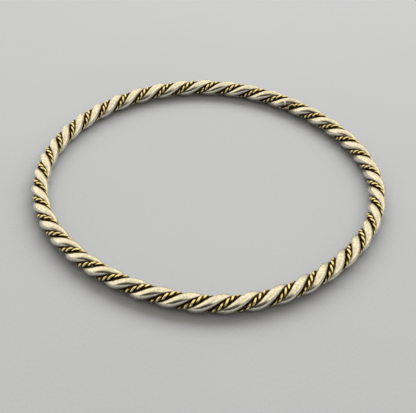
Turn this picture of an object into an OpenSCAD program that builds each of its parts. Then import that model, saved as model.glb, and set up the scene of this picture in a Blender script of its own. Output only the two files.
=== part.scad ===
// Twisted wire bangle. Two thick silver wires are twisted round each other, a thin brass rope
// lies in each of the two grooves between them, and the bundle is bent into a closed ring.
// The ring lies on its side: +Z is the ring's axis, and the origin is the middle of the surface
// that it rests on. Angles round the ring run anticlockwise from +X, seen from above.

/* [Ring] */
// Mean radius of the ring, to the middle of the twisted bundle
ring_r = 34.5; // [26:0.5:44]
// Height of the four soft corners that bending by hand has left
four_corner_rise = 0.35; // [0:0.05:0.8]
// Ring angle of the first of the four corners
four_corner_angle = 5; // [0:1:89]
// Height of the five fainter swellings between them
five_corner_rise = 0.1; // [0:0.05:0.3]
// Ring angle of the first of the five swellings
five_corner_angle = 67; // [0:1:71]

/* [Twist] */
// Full turns that the bundle makes round the ring
bundle_turns = 20; // [14:1:24]
// Where the first silver wire starts at +X in an even twist: 0 is outermost, 90 is on top
twist_start = 183; // [0:1:359]
// How far the twist runs ahead of an even one where it was wound tightest, in degrees of its turn
twist_sway = 24; // [0:1:30]
// Ring angle at which it runs furthest ahead
sway_angle = 343; // [0:1:359]

/* [Silver wires] */
// Diameter of each round silver wire
silver_d = 1.8; // [1.4:0.1:2.4]
// Gap between the two silver wires at the middle of the bundle
silver_gap = 0.08; // [0.06:0.01:0.2]

/* [Brass ropes] */
// Outer diameter of a brass rope, across its two fine wires
rope_d = 0.9; // [0.6:0.05:1.2]
// Gap between a brass rope and the silver wires that it lies against
rope_gap = 0.08; // [0.06:0.01:0.2]

/* [Solder joint] */
// Ring angle at which the ends of the bundle are soldered together
joint_angle = 60; // [0:1:359]
// Diameter of the bead of solder left on the second silver wire
bead_d = 0.6; // [0.4:0.05:0.8]
// How far the bead stands out of the wire
bead_rise = 0.25; // [0.15:0.05:0.35]
// Gap between the bead and the brass rope beside it
bead_gap = 0.08; // [0.06:0.01:0.2]

/* [Hidden] */

// Facets: sides of each strand, and cross sections in one turn of the bundle
silver_sides = 10;
rope_sides = 8;
sections_per_turn = 10;

// Where each strand starts at +X: the two silver wires lie opposite each other, and the two
// ropes lie in the grooves between them
silver_a_start = twist_start;
rope_a_start = twist_start + 90;
silver_b_start = twist_start + 180;
rope_b_start = twist_start + 270;

// Distance of the silver wires' middles from the middle of the bundle
silver_orbit = (silver_d + silver_gap) / 2;
// Radius of the whole bundle, which is also how high the ring's middle line lies
bundle_r = silver_orbit + silver_d / 2;
// Advance for each radian of twist, on the inner side of the ring where the lay is tightest
tight_lead = (ring_r - bundle_r) / (bundle_turns + twist_sway * PI / 180);
// Distance that a rope's middle line keeps from a silver wire's
rope_seat = (silver_d + rope_d) / 2 + rope_gap;
// Distance of the ropes' middles from the middle of the bundle
rope_orbit = seated_orbit(silver_orbit, silver_orbit + rope_seat);
// Distance of the bead's middle from the middle line of its wire
bead_orbit = silver_d / 2 + bead_rise - bead_d / 2;
// Distance that the bead's middle keeps from the rope's middle line
bead_seat = (bead_d + rope_d) / 2 + bead_gap;

// Distance between the middle lines of a silver wire and of a rope a quarter turn ahead of it,
// taken between two points of them that are turned a further angle apart
function strand_distance(orbit, angle) =
    sqrt(pow(silver_orbit, 2) + pow(orbit, 2) + 2 * silver_orbit * orbit * sin(angle)
        + pow(tight_lead * angle * PI / 180, 2));

// Shortest distance between a silver wire and a rope that runs at this orbit
function closest(orbit) = min([for (angle = [-80:1:0]) strand_distance(orbit, angle)]);

// The orbit at which a rope just rests on the silver wires, found by halving
function seated_orbit(low, high, steps = 20) =
    steps == 0 ? high :
    closest((low + high) / 2) < rope_seat ? seated_orbit((low + high) / 2, high, steps - 1) :
    seated_orbit(low, (low + high) / 2, steps - 1);

function unit(v) = v / norm(v);

function ring_radius(angle) = ring_r
    + four_corner_rise * cos(4 * (angle - four_corner_angle))
    + five_corner_rise * cos(5 * (angle - five_corner_angle));

// How far a strand with this start has turned round the bundle at this ring angle
function lay(angle, start) =
    start + bundle_turns * angle + twist_sway * cos(angle - sway_angle);

// Direction from the middle of the bundle to a strand. It turns upwards from the outside as the
// ring angle grows, which gives the bundle its left-handed twist.
function strand_side(angle, start) =
    let(turned = lay(angle, start))
    [cos(turned) * cos(angle), cos(turned) * sin(angle), sin(turned)];

// A ring angle at which a strand touches the surface below, found by going back step by step
function touching_angle(start, angle = 0, steps = 6) =
    steps == 0 ? angle :
    touching_angle(start, angle + (270 - lay(angle, start)) / bundle_turns, steps - 1);

// A point on the middle line of a strand
function strand_point(angle, orbit, start) =
    ring_radius(angle) * [cos(angle), sin(angle), 0]
    + [0, 0, bundle_r]
    + orbit * strand_side(angle, start);

// Direction of the strand at this ring angle
function strand_run(angle, orbit, start, step = 0.1) =
    unit(strand_point(angle + step, orbit, start) - strand_point(angle - step, orbit, start));

// The two directions across a strand: away from the bundle's middle, and square to that
function away(angle, orbit, start) =
    let(side = strand_side(angle, start), run = strand_run(angle, orbit, start))
    unit(side - (side * run) * run);
function across(angle, orbit, start) =
    cross(away(angle, orbit, start), strand_run(angle, orbit, start));

// A point at this turn round the strand and this distance from its middle line
function point_off_strand(angle, orbit, start, turn, distance) =
    strand_point(angle, orbit, start)
    + distance * (cos(turn) * away(angle, orbit, start) + sin(turn) * across(angle, orbit, start));

// The middle of a bead at the joint that sits at this turn round its wire
function bead_middle(turn) =
    point_off_strand(joint_angle, silver_orbit, silver_b_start, turn, bead_orbit);

// Shortest distance between the middle of such a bead and the rope beside it
function bead_to_rope(turn) =
    min([for (angle = [joint_angle - 6:0.1:joint_angle + 6])
        norm(bead_middle(turn) - strand_point(angle, rope_orbit, rope_b_start))]);

// How far round its wire the bead sits, down the flank until it just clears the rope
function seated_turn(low = 0, high = 150, steps = 16) =
    steps == 0 ? low :
    bead_to_rope((low + high) / 2) < bead_seat ? seated_turn(low, (low + high) / 2, steps - 1) :
    seated_turn((low + high) / 2, high, steps - 1);

// One closed loop of wire. One of its sections lies where the loop touches the surface below,
// and a ridge of it faces outwards there, so that the wire keeps its full height.
module strand(orbit, start, diameter, sides) {
    sections = bundle_turns * sections_per_turn;
    first = touching_angle(start);
    points = [
        for (i = [0:sections - 1], j = [0:sides - 1])
            point_off_strand(first + 360 * i / sections, orbit, start, 360 * j / sides, diameter / 2)
    ];
    function corner(i, j) = (i % sections) * sides + j % sides;
    faces = [
        for (i = [0:sections - 1], j = [0:sides - 1], half = [0, 1])
            half == 0
                ? [corner(i, j), corner(i, j + 1), corner(i + 1, j)]
                : [corner(i + 1, j), corner(i, j + 1), corner(i + 1, j + 1)]
    ];
    polyhedron(points = points, faces = faces);
}

// The bead of solder on the second silver wire, on its flank beside the brass rope
module solder_bead() {
    translate(bead_middle(seated_turn()))
        sphere(d = bead_d, $fn = 24);
}

module silver_wire_a() {
    color("silver")
        strand(silver_orbit, silver_a_start, silver_d, silver_sides);
}

module silver_wire_b() {
    color("silver")
        union() {
            strand(silver_orbit, silver_b_start, silver_d, silver_sides);
            solder_bead();
        }
}

module brass_rope_a() {
    color("goldenrod")
        strand(rope_orbit, rope_a_start, rope_d, rope_sides);
}

module brass_rope_b() {
    color("goldenrod")
        strand(rope_orbit, rope_b_start, rope_d, rope_sides);
}

silver_wire_a();
silver_wire_b();
brass_rope_a();
brass_rope_b();
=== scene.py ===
"""Looks of the twisted wire bangle: round silver wires and two-ply brass ropes in place of the
plain strands of the frame, on a pale floor under soft light. Sizes are in millimetres and angles
in radians where no comment says otherwise. Meshes, lights and the camera are made in metres."""
import math

import bpy
import numpy as np
from mathutils import Matrix, Vector


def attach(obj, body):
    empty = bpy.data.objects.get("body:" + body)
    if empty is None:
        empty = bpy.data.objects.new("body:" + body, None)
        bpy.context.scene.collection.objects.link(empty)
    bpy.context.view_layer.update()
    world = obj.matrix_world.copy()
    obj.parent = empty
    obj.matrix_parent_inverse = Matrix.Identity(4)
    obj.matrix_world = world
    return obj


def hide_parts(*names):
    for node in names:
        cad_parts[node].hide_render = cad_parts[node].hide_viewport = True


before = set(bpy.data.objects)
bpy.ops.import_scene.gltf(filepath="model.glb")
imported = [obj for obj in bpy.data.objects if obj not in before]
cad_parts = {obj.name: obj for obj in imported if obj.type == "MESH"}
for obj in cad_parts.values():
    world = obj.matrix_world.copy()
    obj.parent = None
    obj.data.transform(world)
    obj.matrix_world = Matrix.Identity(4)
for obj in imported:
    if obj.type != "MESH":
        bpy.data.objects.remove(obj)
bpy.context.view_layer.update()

MM = 0.001
TURN = 2 * math.pi

# The ring and its twist, as in the frame. The smooth wires reach a little further out than the
# flats that stand for them there, so the ring is drawn this much smaller to stay inside its box.
FIT = 0.09
FRAME_RING_R = 34.5
RING_R = FRAME_RING_R - FIT
# How far the soft corners rise, and the ring angle of the first of them
FOUR_CORNERS = (0.35, math.radians(5))
FIVE_CORNERS = (0.10, math.radians(67))
BUNDLE_TURNS = 20
BUNDLE_R = 1.84
TWIST_START = math.radians(183)
# How far the twist runs ahead of an even one, and the ring angle where it is furthest ahead
TWIST_SWAY = (math.radians(24), math.radians(343))

# The silver wires. The orbit of a strand is its distance from the middle of the bundle. Its sides
# and sections make up its mesh, and its rows are the strips that its flat map is cut into.
SILVER_D = 1.8
SILVER_ORBIT = 0.93
SILVER_SIDES = 32
SILVER_SECTIONS = 1600
SILVER_ROWS = 7

# The brass ropes: two fine wires laid round each other, the first of which starts at +X at this
# turn from the outside of the rope
FINE_D = 0.45
ROPE_LAY_START = 0.0
ROPE_ORBIT = 1.17
ROPE_TURNS = 91
FINE_SIDES = 16
FINE_SECTIONS = 2400
FINE_ROWS = 11

# The solder joint. Places along it are degrees of ring angle beyond its middle, and what rises or
# sinks in there is given by its place, height and half width.
JOINT_ANGLE = 60.0
# Solder has flooded the second rope from the first of these places to the last, with soft edges
# this long. Its fine wires run into one by this share of their diameter, with two lumps on them.
FLOODED = (-4.9, 1.2)
FLOOD_EDGE = 0.8
MELT = 0.6
LUMPS = ((-1.5, 0.12, 0.40), (0.1, 0.15, 0.45))
# An arch of solder stands over a dark hollow in that rope, its middle line this far out from the
# rope's. It goes from its feet at the first of these turns round the rope to its top at the
# second, and its feet are thinner than its top.
# The hollow is darkened with painted shade: the rope there takes its tarnish colour all round.
HOLLOW = (-3.3, 0.36, 1.0)
ARCH_FEET = (-2.0, -4.7)
ARCH_TURNS = (math.radians(62), math.radians(-78))
ARCH_OUT = 0.39
ARCH_D = 0.34
ARCH_FOOT_SHARE = 0.5
ARCH_BLUNTNESS = 0.7
# A drip of solder lies on the second silver wire between these turns round the wire, a little sunk
# in and thinner at its upper end. This share of it is cut off at each end, where it would be a
# bare point.
DRIP_TURNS = (math.radians(-4), math.radians(80))
DRIP_D = 0.55
DRIP_SUNK = 0.02
DRIP_TIP_SHARE = 0.02
DRIP_TOP_SHARE = 0.6
DRIP_BLUNTNESS = 0.6
# The dark stain round the drip: its middle and half width along the ring and round the wire
STAIN_ALONG = (1.0, 3.2)
STAIN_ROUND = (math.radians(80), math.radians(52))
SOLDER_SIDES = 16
SOLDER_SECTIONS = 24

# Margins that keep the strips of a flat map apart, as shares of a strip's length and width
MAP_END_MARGIN = 0.004
MAP_SIDE_MARGIN = 0.04

# Colours of the metals where they are polished and where they are dull, and of what covers them
SILVER_BRIGHT = (0.90, 0.865, 0.76)
SILVER_DULL = (0.62, 0.58, 0.49)
SILVER_TARNISH = (0.13, 0.104, 0.082)
BRASS_BRIGHT = (1.0, 0.94, 0.59)
BRASS_DULL = (0.92, 0.735, 0.31)
BRASS_AMBER = (0.46, 0.29, 0.06)
BRASS_TARNISH = (0.060, 0.034, 0.011)
SOLDER_ON_SILVER = (0.90, 0.83, 0.79)
SOLDER_ON_BRASS = (0.78, 0.645, 0.45)
# Depths below the crests of the bundle at which tarnish starts and is full
SILVER_TARNISH_DEPTHS = (0.36, 0.62)
BRASS_TARNISH_DEPTHS = (0.30, 0.54)
# How far the skin of a fine wire is kept from wear where tarnish starts and is full, from 0 on the
# outside of the rope to 1 where it faces the other fine wire
# In the hollow under the arch the rope is set to 1 all round, so the tarnish colour there is painted
# shade.
BRASS_TARNISH_AND_SHADE_STEPS = (0.30, 0.80)
# Roughness of the polished metals
SILVER_POLISH = 0.16
BRASS_POLISH = 0.14

# The camera. Its distance and target are those for the frame's ring, drawn smaller with the ring.
PICTURE_W = 416
CAMERA_HEIGHT = math.radians(41.08)
CAMERA_DISTANCE = 171.37 * RING_R / FRAME_RING_R
CAMERA_TARGET = (0.04, -6.57, 0.0)
CAMERA_ROLL = math.radians(3.085)
FOCAL_PIXELS = 838.87
SENSOR_W = 36.0
NEAREST_M = 0.01
FURTHEST_M = 20

# The floor, from its middle to its edges, and the two shades that drift into each other on it
FLOOR_HALF_M = 3.0
FLOOR_SHADES = ((0.256, 0.271, 0.333), (0.274, 0.291, 0.358))

# The room all round. Each part of it has the azimuth and height of its middle, in degrees, and how
# far from there it is full and where it has faded out.
CEILING = (20, 78, 48, 88)
LEFT_WALL = (158, 12, 42, 98)
BACK_WALL = (95, 0, 30, 80)
FRONT_GAP = (-105, 9, 31, 60)
OVERHEAD = (-90, 76, 12, 42)
# Brightness of the back wall beside that of the others, of the room away from all of them, and
# what the bright parts add to that. Then how much the gap and the patch overhead take away.
BACK_SHARE = 0.6
ROOM_DIMMEST = 0.12
ROOM_BRIGHTER = 0.86
GAP_TAKES = 0.87
OVERHEAD_TAKES = 0.22
ROOM_COLOUR = (1.0, 0.93, 0.72)
ROOM_LIGHT = 1.25

# The softbox: azimuth and height of its place in degrees, then metres and watts
SOFTBOX_PLACE = (82, 43)
SOFTBOX_DISTANCE_M = 0.8
SOFTBOX_SIZE_M = (1.3, 0.44)
SOFTBOX_WATTS = 15
SOFTBOX_COLOUR = (1.0, 0.96, 0.82)


# The run of the strands


def unit(v):
    return v / np.linalg.norm(v, axis=-1, keepdims=True)


def round_angles(count):
    """Evenly spaced angles, once round."""
    return TURN * np.arange(count) / count


def ring_radius(angle):
    four, four_at = FOUR_CORNERS
    five, five_at = FIVE_CORNERS
    return RING_R + four * np.cos(4 * (angle - four_at)) + five * np.cos(5 * (angle - five_at))


def outward(angle):
    return np.stack([np.cos(angle), np.sin(angle), np.zeros_like(angle)], -1)


def bundle_middle(angle):
    return ring_radius(angle)[:, None] * outward(angle) + np.array([0, 0, BUNDLE_R])


def strand_side(angle, start):
    """Direction from the middle of the bundle to a strand with this start."""
    sway, sway_at = TWIST_SWAY
    lay = start + BUNDLE_TURNS * angle + sway * np.cos(angle - sway_at)
    return np.cos(lay)[:, None] * outward(angle) + np.sin(lay)[:, None] * np.array([0, 0, 1.0])


def strand(angle, start, orbit):
    """Points on the middle line of a strand."""
    return bundle_middle(angle) + orbit * strand_side(angle, start)


def runs(line, closed):
    """Direction of a line at each of its points."""
    return unit(np.roll(line, -1, 0) - np.roll(line, 1, 0) if closed else np.gradient(line, axis=0))


def square_off(run, side):
    """The two directions across a run: nearest to side, and square to that."""
    away = unit(side - (side * run).sum(-1, keepdims=True) * run)
    return away, np.cross(away, run)


def turned(directions, turn):
    """A direction across a run, at this turn from the first of the two towards the second."""
    away, across = directions
    return np.cos(turn)[..., None] * away + np.sin(turn)[..., None] * across


# The solder joint: where it reaches


def rises(angle, bumps):
    """The height of these soft bumps at a ring angle."""
    beyond = np.degrees(angle) - JOINT_ANGLE
    return sum(high * np.exp(-((beyond - place) / half) ** 2) for place, high, half in bumps)


def flooding():
    """1 where solder has flooded a rope and 0 elsewhere, for each section of its fine wires."""
    beyond = np.degrees(round_angles(FINE_SECTIONS)) - JOINT_ANGLE
    past_first, past_last = [np.clip((beyond - edge) / FLOOD_EDGE + 0.5, 0, 1) for edge in FLOODED]
    return past_first - past_last


def hollow():
    """1 in the hollow under the arch and 0 elsewhere, for each section of a rope's fine wires. It
    marks where the rope is darkened with painted shade.
    """
    place, _, half = HOLLOW
    return rises(round_angles(FINE_SECTIONS), [(place, 1, half)])


def stain():
    """1 in the stain round the drip and 0 elsewhere, over a silver wire."""
    place, length = STAIN_ALONG
    middle, half = STAIN_ROUND
    along = rises(round_angles(SILVER_SECTIONS), [(place, 1, length)])
    around = np.exp(-((round_angles(SILVER_SIDES) - middle) / half) ** 2)
    return along[:, None] * around


# The wires and the runs of solder, as grids of points


def round_wire(line, side, diameter, sides, closed=True):
    """The points of a round wire, section by section. The first point of each faces side."""
    away, across = square_off(runs(line, closed), side)
    ring = turned((away[:, None], across[:, None]), round_angles(sides)[None])
    return line[:, None] + np.asarray(diameter).reshape(-1, 1, 1) / 2 * ring


def silver_points(start):
    angle = round_angles(SILVER_SECTIONS)
    line = strand(angle, start, SILVER_ORBIT)
    return round_wire(line, strand_side(angle, start), SILVER_D, SILVER_SIDES)


def fine_points(start, ply_start, flooded):
    """One of the two fine wires of a rope. Where solder has flooded them, they run into one."""
    angle = round_angles(FINE_SECTIONS)
    rope = strand(angle, start, ROPE_ORBIT)
    across_rope = square_off(runs(rope, True), strand_side(angle, start))
    from_rope = turned(across_rope, ply_start + ROPE_TURNS * angle)
    apart = FINE_D * (1 - MELT * flooded)
    thick = FINE_D + flooded * (MELT * FINE_D / 2 + rises(angle, LUMPS) - rises(angle, [HOLLOW]))
    return round_wire(rope + apart[:, None] / 2 * from_rope, from_rope, thick, FINE_SIDES)


def run_of_solder(beyond, turn, start, orbit, out, diameter):
    """A round run of solder that lies on a strand, at these turns round it."""
    angle, step = np.radians(JOINT_ANGLE + beyond), math.radians(0.05)
    run = unit(strand(angle + step, start, orbit) - strand(angle - step, start, orbit))
    outward_from_strand = turned(square_off(run, strand_side(angle, start)), turn)
    line = strand(angle, start, orbit) + out * outward_from_strand
    return round_wire(line, outward_from_strand, diameter, SOLDER_SIDES, closed=False)


def arch_points(start):
    """The arch of solder over the hollow in a rope."""
    share = np.linspace(0, 1, SOLDER_SECTIONS)
    rise = np.sin(math.pi * share) ** ARCH_BLUNTNESS
    beyond = ARCH_FEET[0] + (ARCH_FEET[1] - ARCH_FEET[0]) * share
    turn = ARCH_TURNS[0] + (ARCH_TURNS[1] - ARCH_TURNS[0]) * rise
    diameter = ARCH_D * (ARCH_FOOT_SHARE + (1 - ARCH_FOOT_SHARE) * rise)
    return run_of_solder(beyond, turn, start, ROPE_ORBIT, ARCH_OUT, diameter)


def drip_points(start):
    """The drip of solder on a silver wire, thickest toward its lower end."""
    share = np.linspace(DRIP_TIP_SHARE, 1 - DRIP_TIP_SHARE, SOLDER_SECTIONS)
    drop = np.sin(math.pi * share) ** DRIP_BLUNTNESS * (DRIP_TOP_SHARE + (1 - DRIP_TOP_SHARE) * share)
    turn = DRIP_TURNS[0] + (DRIP_TURNS[1] - DRIP_TURNS[0]) * share
    diameter = DRIP_D * drop / drop.max()
    return run_of_solder(0 * share, turn, start, SILVER_ORBIT, SILVER_D / 2 - DRIP_SUNK, diameter)


# Meshes


def depth_in_bundle(points):
    """How far each point lies below the crests of the bundle."""
    angle = np.arctan2(points[:, 1], points[:, 0])
    return BUNDLE_R - np.linalg.norm(points - bundle_middle(angle), axis=-1)


def quads_of_grid(sections, sides, closed):
    """The quads over a grid that is round in its second direction, and closed in its first or
    capped at both ends. Their corners come with the section and the side that each is on, which
    count on past the seams."""
    spans = sections if closed else sections - 1
    i, j = [k.ravel() for k in np.meshgrid(np.arange(spans), np.arange(sides), indexing="ij")]
    i2, j2 = (i + 1) % sections, (j + 1) % sides
    quads = np.stack([i * sides + j, i2 * sides + j, i2 * sides + j2, i * sides + j2], -1)
    on_section = np.stack([i, i + 1, i + 1, i], -1)
    on_side = np.stack([j, j, j + 1, j + 1], -1)
    if not closed:
        k = np.arange(sides // 2 - 1)
        cap = np.stack([k, k + 1, sides - 2 - k, sides - 1 - k], -1)
        quads = np.concatenate([quads, cap, (sections - 1) * sides + cap[:, ::-1]])
        on_section = np.concatenate([on_section, 0 * cap, 0 * cap + spans])
        on_side = np.concatenate([on_side, cap, cap[:, ::-1]])
    return quads, on_section, on_side


def lay_on_wire(points, on_section, on_side):
    """Millimetres along the wire and around it, at each corner of the quads."""
    middle = points.mean(1)
    step = np.linalg.norm(np.roll(middle, -1, 0) - middle, axis=-1)
    along = np.concatenate([[0], np.cumsum(step)])
    girth = np.linalg.norm(points - np.roll(points, 1, 1), axis=-1).sum(1).max()
    return np.stack([along[on_section], girth * (on_side / points.shape[1] - 0.5)], -1)


def flat_strips(on_section, on_side, spans, sides, rows):
    """The skin laid flat in strips, one above the other, each one wide and one high."""
    in_row = -(-spans // rows)
    row = np.minimum(on_section.min(-1), spans - 1) // in_row
    across = (on_section - (row * in_row)[:, None]) / in_row
    inner_length, inner_width = 1 - 2 * MAP_END_MARGIN, 1 - 2 * MAP_SIDE_MARGIN
    up = row[:, None] + MAP_SIDE_MARGIN + inner_width * on_side / sides
    return np.stack([MAP_END_MARGIN + inner_length * across, up], -1)


def grid_skin(points, tarnish_and_painted_shade=0.0, solder=0.0, rows=1, closed=True):
    """The skin over a grid of points, with its maps, and at each point its tarnish from shelter
    against wear together with its painted shade, and whether it is solder."""
    sections, sides = points.shape[:2]
    spans = sections if closed else sections - 1
    quads, on_section, on_side = quads_of_grid(sections, sides, closed)
    return {
        "points": points.reshape(-1, 3),
        "quads": quads,
        "lay": lay_on_wire(points, on_section, on_side),
        "map": flat_strips(on_section, on_side, spans, sides, rows),
        "rows": rows,
        "tarnish_and_painted_shade": np.broadcast_to(tarnish_and_painted_shade, points.shape[:2]).ravel(),
        "solder": np.broadcast_to(solder, points.shape[:2]).ravel(),
    }


def quad_mesh(name, places, quads):
    mesh = bpy.data.meshes.new(name)
    mesh.vertices.add(len(places))
    mesh.vertices.foreach_set("co", (places * MM).astype(np.float32).ravel())
    mesh.loops.add(quads.size)
    mesh.loops.foreach_set("vertex_index", quads.astype(np.int32).ravel())
    mesh.polygons.add(len(quads))
    mesh.polygons.foreach_set("loop_start", np.arange(0, quads.size, 4, dtype=np.int32))
    mesh.polygons.foreach_set("loop_total", np.full(len(quads), 4, dtype=np.int32))
    mesh.update(calc_edges=True)
    mesh.polygons.foreach_set("use_smooth", np.ones(len(quads), dtype=bool))
    return mesh


def make_piece(name, skins):
    """One object made of these skins, with its maps and the measures that its finish reads."""

    def joined(kept):
        return np.concatenate([skin[kept] for skin in skins])

    rows_in_all = sum(skin["rows"] for skin in skins)
    quads, strips = [], []
    first, row = 0, 0
    for skin in skins:
        quads.append(skin["quads"] + first)
        strips.append((skin["map"] + np.array([0, row])) / np.array([1, rows_in_all]))
        first += len(skin["points"])
        row += skin["rows"]
    places = joined("points")
    mesh = quad_mesh(name, places, np.concatenate(quads))
    for layer, values in (("OFBake", np.concatenate(strips)), ("lay", joined("lay"))):
        mesh.uv_layers.new(name=layer).data.foreach_set("uv", values.astype(np.float32).ravel())
    measures = {
        "tarnish_and_painted_shade": joined("tarnish_and_painted_shade"),
        "solder": joined("solder"),
        "depth": depth_in_bundle(places),
    }
    for measure, values in measures.items():
        layer = mesh.attributes.new(measure, "FLOAT", "POINT")
        layer.data.foreach_set("value", values.astype(np.float32))
    mesh.validate()
    piece = bpy.data.objects.new(name, mesh)
    bpy.context.scene.collection.objects.link(piece)
    return piece


# Finishes


class Mark:
    """A value that changes over a surface. Sums on it add Math nodes."""

    def __init__(self, nodes, socket):
        self.nodes, self.socket = nodes, socket

    def math(self, operation, *values):
        return self.nodes.add("ShaderNodeMath", {"operation": operation}, values)

    def __add__(self, other):
        return self.math("ADD", self, other)

    def __sub__(self, other):
        return self.math("SUBTRACT", self, other)

    def __rsub__(self, other):
        return self.math("SUBTRACT", other, self)

    def __mul__(self, other):
        return self.math("MULTIPLY", self, other)

    __radd__, __rmul__ = __add__, __mul__

    def step(self, low, high):
        """0 at low, 1 at high, and a smooth change between."""
        return self.nodes.add("ShaderNodeMapRange", {"interpolation_type": "SMOOTHSTEP"},
                              {"Value": self, "From Min": low, "From Max": high})

    def or_more(self, other):
        return self.math("MAXIMUM", self, other)


class Nodes:
    """The nodes of a finish, or of the light all round."""

    def __init__(self, owner):
        owner.use_nodes = True
        self.tree = owner.node_tree
        self.tree.nodes.clear()

    def add(self, kind, settings=None, values=None, output=0):
        """Any node: its settings first, then the values or links of its sockets."""
        node = self.tree.nodes.new(kind)
        for name, setting in (settings or {}).items():
            setattr(node, name, setting)
        pairs = values.items() if isinstance(values, dict) else enumerate(values or ())
        for name, value in pairs:
            if isinstance(value, Mark):
                self.tree.links.new(value.socket, node.inputs[name])
            else:
                node.inputs[name].default_value = value
        return Mark(self, node.outputs[output]) if node.outputs else None

    def place(self):
        """The place on the object, in millimetres."""
        where = self.add("ShaderNodeTexCoord", output="Object")
        return self.add("ShaderNodeVectorMath", {"operation": "SCALE"}, {0: where, "Scale": 1 / MM})

    def lay(self, along, around):
        """The place on the wire, in millimetres along it and around it, each times its factor."""
        where = self.add("ShaderNodeUVMap", {"uv_map": "lay"})
        return self.add("ShaderNodeVectorMath", {"operation": "MULTIPLY"}, (where, (along, around, 1)))

    def measure(self, name):
        """A value that the mesh carries, such as its depth in the bundle."""
        return self.add("ShaderNodeAttribute", {"attribute_name": name}, output="Fac")

    def spots(self, where, scale, detail=3.0, roughness=0.5):
        """Soft spots between -0.5 and 0.5, about this many to a millimetre."""
        return self.add("ShaderNodeTexNoise", {}, {
            "Vector": where, "Scale": scale, "Detail": detail, "Roughness": roughness}) - 0.5

    def mix(self, share, first, second):
        """Two colours mixed: the first where share is 0."""
        first, second = [c if isinstance(c, Mark) else (*c, 1) for c in (first, second)]
        return self.add("ShaderNodeMix", {"data_type": "RGBA"}, {0: share, 6: first, 7: second}, 2)

    def bump(self, height):
        """A bump of this height in millimetres."""
        return self.add("ShaderNodeBump", {}, {"Height": height, "Distance": MM})

    def surface(self, **sockets):
        shader = self.add("ShaderNodeBsdfPrincipled", {}, {
            name.replace("_", " "): value for name, value in sockets.items()})
        self.add("ShaderNodeOutputMaterial", {}, {"Surface": shader})


def new_finish(name):
    finish = bpy.data.materials.new(name)
    return finish, Nodes(finish)


def silver_finish():
    """Polished silver, softly worn, dark in the grooves where the polishing cloth can't reach."""
    finish, n = new_finish("worn_silver")
    place = n.place()
    cloud = n.spots(place, scale=0.55)
    mottle = n.spots(place, scale=2.0, roughness=0.55)
    scratches = n.spots(n.lay(along=0.9, around=9.0), scale=1.0, roughness=0.6)
    solder = n.measure("solder")
    in_groove = (n.measure("depth") + cloud * 0.16 + mottle * 0.10).step(*SILVER_TARNISH_DEPTHS)
    tarnish = in_groove.or_more(n.measure("tarnish_and_painted_shade") * 0.9) * (1 - solder)
    polished = n.mix((mottle * 1.7 + 0.5).step(0, 1), SILVER_BRIGHT, SILVER_DULL)
    n.surface(
        Base_Color=n.mix(tarnish, n.mix(solder, polished, SOLDER_ON_SILVER), SILVER_TARNISH),
        Metallic=1.0,
        Roughness=mottle * 0.14 + scratches * 0.10 + SILVER_POLISH + tarnish * 0.38 + solder * 0.22,
        Normal=n.bump(mottle * 0.010 + scratches * 0.006))
    return finish


def brass_finish():
    """Warm brass: bright where the rope stands out, then amber, and brown-black in the grooves
    and between its fine wires."""
    finish, n = new_finish("old_brass")
    place = n.place()
    cloud = n.spots(place, scale=0.8)
    mottle = n.spots(place, scale=4.5, roughness=0.6)
    solder = n.measure("solder")
    in_groove = (n.measure("depth") + cloud * 0.12 + mottle * 0.08).step(*BRASS_TARNISH_DEPTHS)
    # Tarnish between the fine wires, and the painted shade of the hollow under the arch
    between = (n.measure("tarnish_and_painted_shade") + mottle * 0.10).step(*BRASS_TARNISH_AND_SHADE_STEPS)
    tarnish = in_groove.or_more(between * (1 - solder))
    polished = n.mix((mottle * 1.4 + 0.5).step(0, 1), BRASS_BRIGHT, BRASS_DULL)
    toned = n.mix(tarnish.step(0.0, 0.5), n.mix(solder, polished, SOLDER_ON_BRASS), BRASS_AMBER)
    n.surface(
        Base_Color=n.mix(tarnish.step(0.2, 1.0), toned, BRASS_TARNISH),
        Metallic=1.0,
        Roughness=mottle * 0.16 + BRASS_POLISH + tarnish * 0.3 + solder * 0.3,
        Normal=n.bump(mottle * 0.006))
    return finish


def floor_finish():
    """A smooth pale sheet."""
    finish, n = new_finish("pale_floor")
    place = n.place()
    n.surface(
        Base_Color=n.mix(n.spots(place, scale=0.02) + 0.5, *FLOOR_SHADES),
        Roughness=0.8,
        Normal=n.bump(n.spots(place, scale=1.5, detail=4, roughness=0.7) * 0.04))
    return finish


# The pieces


def dress(piece, finish, node):
    """Give a piece its finish, and let it stand for its node."""
    piece.data.materials.append(finish)
    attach(piece, "root")
    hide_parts(node)


def add_silver_wire(letter, finish, start, stained=0.0, more=()):
    skins = [grid_skin(silver_points(start), stained, rows=SILVER_ROWS), *more]
    dress(make_piece("round_silver_wire_" + letter, skins), finish, "silver_wire_" + letter)


def add_brass_rope(letter, finish, start, flooded, hollow_shade, more=()):
    """A rope that is kept from wear between its fine wires, and made dark with painted shade in its
    hollow under the arch.
    """
    toward_other_wire = (1 - np.cos(round_angles(FINE_SIDES))) / 2
    # Tarnish where the fine wires face each other, and painted shade all round in the hollow under the
    # arch
    tarnish_and_painted_shade = np.maximum(toward_other_wire, hollow_shade[:, None])
    solder = (flooded * (1 - hollow_shade))[:, None]
    skins = [grid_skin(fine_points(start, ply_start, flooded), tarnish_and_painted_shade, solder, FINE_ROWS)
             for ply_start in (ROPE_LAY_START, ROPE_LAY_START + TURN / 2)]
    piece = make_piece("two_ply_brass_rope_" + letter, skins + [*more])
    dress(piece, finish, "brass_rope_" + letter)


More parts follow.
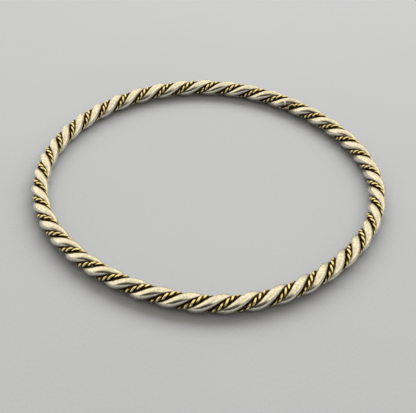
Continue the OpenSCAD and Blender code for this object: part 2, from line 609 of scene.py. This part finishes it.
def add_bangle():
    """The four strands, a quarter turn apart, with the solder on the second wire and rope."""
    silver, brass = silver_finish(), brass_finish()
    second_wire, second_rope = TWIST_START + TURN / 2, TWIST_START + 3 * TURN / 4
    drip = grid_skin(drip_points(second_wire), solder=1.0, closed=False)
    arch = grid_skin(arch_points(second_rope), solder=1.0, closed=False)
    add_silver_wire("a", silver, TWIST_START)
    add_brass_rope("a", brass, TWIST_START + TURN / 4, 0 * flooding(), 0 * hollow())
    add_silver_wire("b", silver, second_wire, stain(), [drip])
    add_brass_rope("b", brass, second_rope, flooding(), hollow(), [arch])


# The camera, floor and light


def add_camera():
    target = Vector(CAMERA_TARGET) * MM * (RING_R / FRAME_RING_R)
    back = Vector((0, -math.cos(CAMERA_HEIGHT), math.sin(CAMERA_HEIGHT)))
    right = (-back).cross(Vector((0, 0, 1))).normalized()
    up = right.cross(-back)
    c, s = math.cos(CAMERA_ROLL), math.sin(CAMERA_ROLL)
    right, up = c * right + s * up, c * up - s * right
    data = bpy.data.cameras.new("camera")
    data.sensor_fit, data.sensor_width = "HORIZONTAL", SENSOR_W
    data.lens = SENSOR_W * FOCAL_PIXELS / PICTURE_W
    data.clip_start, data.clip_end = NEAREST_M, FURTHEST_M
    camera = bpy.data.objects.new("camera", data)
    turn = Matrix((right, up, back)).transposed().to_4x4()
    camera.matrix_world = Matrix.Translation(target + back * CAMERA_DISTANCE * MM) @ turn
    bpy.context.scene.collection.objects.link(camera)
    bpy.context.scene.camera = camera


def add_floor():
    half = FLOOR_HALF_M
    corners = [(-half, -half, 0), (half, -half, 0), (half, half, 0), (-half, half, 0)]
    mesh = bpy.data.meshes.new("floor")
    mesh.from_pydata(corners, [], [(0, 1, 2, 3)])
    floor = bpy.data.objects.new("floor", mesh)
    mesh.materials.append(floor_finish())
    bpy.context.scene.collection.objects.link(floor)


def toward(azimuth, height):
    """The direction at this azimuth and this height above the floor, both in degrees."""
    a, h = math.radians(azimuth), math.radians(height)
    return math.cos(a) * math.cos(h), math.sin(a) * math.cos(h), math.sin(h)


def patch(n, where, azimuth, height, full, faded):
    """A round soft-edged part of the room: 1 up to full degrees from its middle, 0 from faded."""
    facing = n.add("ShaderNodeVectorMath", {"operation": "DOT_PRODUCT"},
                   (where, toward(azimuth, height)), "Value")
    return facing.step(math.cos(math.radians(faded)), math.cos(math.radians(full)))


def add_room():
    """Soft light from a wide ceiling, the left and the back, with a dark gap toward the front and
    a slightly dimmer patch overhead."""
    room = bpy.data.worlds.new("studio")
    bpy.context.scene.world = room
    n = Nodes(room)
    where = n.add("ShaderNodeTexCoord", output="Generated")
    ceiling, left, back, gap, overhead = [
        patch(n, where, *part) for part in (CEILING, LEFT_WALL, BACK_WALL, FRONT_GAP, OVERHEAD)]
    lit = ceiling.or_more(left).or_more(back * BACK_SHARE)
    bright = (lit * ROOM_BRIGHTER + ROOM_DIMMEST) * (1 - gap * GAP_TAKES)
    bright = bright * (1 - overhead * OVERHEAD_TAKES)
    colour = n.mix(bright, (0, 0, 0), ROOM_COLOUR)
    light = n.add("ShaderNodeBackground", {}, {"Color": colour, "Strength": ROOM_LIGHT})
    n.add("ShaderNodeOutputWorld", {}, {"Surface": light})


def add_softbox():
    """A softbox behind the ring that shapes its shadow. The metal doesn't mirror it."""
    data = bpy.data.lights.new("softbox", "AREA")
    data.shape = "RECTANGLE"
    data.size, data.size_y = SOFTBOX_SIZE_M
    data.energy = SOFTBOX_WATTS
    data.color = SOFTBOX_COLOUR
    lamp = bpy.data.objects.new("softbox", data)
    where = Vector(toward(*SOFTBOX_PLACE))
    lamp.location = where * SOFTBOX_DISTANCE_M
    lamp.rotation_euler = (-where).to_track_quat("-Z", "Y").to_euler()
    lamp.visible_glossy = False
    bpy.context.scene.collection.objects.link(lamp)


add_bangle()
add_camera()
add_floor()
add_room()
add_softbox()

view = bpy.context.scene.view_settings
view.view_transform = "Standard"
view.look = "None"
